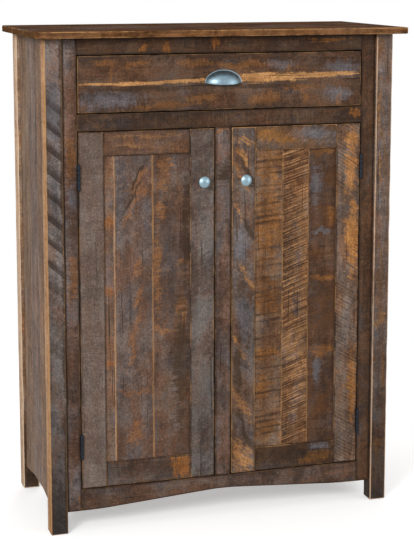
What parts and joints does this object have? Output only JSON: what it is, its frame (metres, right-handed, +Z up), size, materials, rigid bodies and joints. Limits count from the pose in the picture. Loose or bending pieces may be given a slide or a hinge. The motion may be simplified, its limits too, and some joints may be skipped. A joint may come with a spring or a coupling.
{
  "type": "rustic cupboard",
  "caption": "Floor-standing rustic cupboard of reclaimed boards: a drawer over a pair of framed plank doors, square posts that run down as legs, shelves inside.",
  "frame": {"origin": "on the floor, under the middle of the top", "axes": "+Z up, +X to the right of someone who looks at the doors, +Y to the back"},
  "size_m": [0.973, 0.448, 1.27],
  "materials": {
    "barnwood": "rough-sawn reclaimed boards, sealed matt",
    "post_barnwood": "weathered grey-brown reclaimed timber, sealed matt",
    "top_barnwood": "reclaimed boards, sanded and sealed satin",
    "inside_barnwood": "planed boards, sealed matt",
    "drawer_wood": "planed solid wood, clear lacquer",
    "plywood": "plywood, clear lacquer",
    "satin_steel": "satin blue-grey steel",
    "dark_hinge_steel": "blackened steel",
    "zinc_steel": "zinc-plated steel",
    "catch_plastic": "brown moulded plastic"
  },
  "bodies": {
    "cabinet": {"back_panel": "plywood", "back_rail_top": "inside_barnwood", "cabinet_floor": "inside_barnwood", "door_catches": "catch_plastic", "drawer_deck": "inside_barnwood", "drawer_rail_left": "inside_barnwood", "drawer_rail_right": "inside_barnwood", "face_mullion": "barnwood", "face_rail_bottom": "barnwood", "face_rail_middle": "barnwood", "face_rail_top": "barnwood", "face_stile_left": "barnwood", "face_stile_right": "barnwood", "floor_cleats": "inside_barnwood", "hinge_frame_leaves": "dark_hinge_steel", "hinge_pins": "dark_hinge_steel", "post_back_left": "post_barnwood", "post_back_right": "post_barnwood", "post_front_left": "post_barnwood", "post_front_right": "post_barnwood", "shelf_lower": "inside_barnwood", "shelf_pins": "zinc_steel", "shelf_upper": "inside_barnwood", "side_panel_left": "barnwood", "side_panel_right": "barnwood", "slide_outer_members": "zinc_steel", "top_board_back": "top_barnwood", "top_board_front": "top_barnwood", "top_board_middle": "top_barnwood"},
    "drawer": {"drawer_front": "barnwood", "drawer_side_left": "drawer_wood", "drawer_side_right": "drawer_wood", "drawer_box_front": "drawer_wood", "drawer_back": "drawer_wood", "drawer_bottom": "plywood", "cup_pull": "satin_steel", "pull_screws": "zinc_steel", "slide_inner_members": "zinc_steel"},
    "slide_middles": {"slide_middle_members": "zinc_steel"},
    "left_door": {"left_door_bottom_rail": "barnwood", "left_door_hinge_leaves": "dark_hinge_steel", "left_door_hinge_stile": "barnwood", "left_door_knob": "satin_steel", "left_door_knob_stile": "barnwood", "left_door_plank_1": "barnwood", "left_door_plank_2": "barnwood", "left_door_plank_3": "barnwood", "left_door_strike_plate": "zinc_steel", "left_door_top_rail": "barnwood"},
    "right_door": {"right_door_bottom_rail": "barnwood", "right_door_hinge_leaves": "dark_hinge_steel", "right_door_hinge_stile": "barnwood", "right_door_knob": "satin_steel", "right_door_knob_stile": "barnwood", "right_door_plank_1": "barnwood", "right_door_plank_2": "barnwood", "right_door_plank_3": "barnwood", "right_door_strike_plate": "zinc_steel", "right_door_top_rail": "barnwood"}
  },
  "joints": [
    {"name": "drawer_travel", "type": "slide", "parent": "cabinet", "child": "drawer", "axis": [0, -1, 0], "range_m": [0, 0.35]},
    {"name": "slide_middle_travel", "type": "slide", "parent": "cabinet", "child": "slide_middles", "axis": [0, -1, 0], "range_m": [0, 0.175]},
    {"name": "left_door_swing", "type": "hinge", "parent": "cabinet", "child": "left_door", "pos_m": [-0.37575, -0.1858, 0.567], "axis": [0, 0, -1], "range_deg": [0, 170]},
    {"name": "right_door_swing", "type": "hinge", "parent": "cabinet", "child": "right_door", "pos_m": [0.37575, -0.1858, 0.567], "axis": [0, 0, 1], "range_deg": [0, 170]}
  ],
  "couplings": [
    {"joint": "slide_middle_travel", "follows": "drawer_travel", "ratio": 0.5}
  ]
}
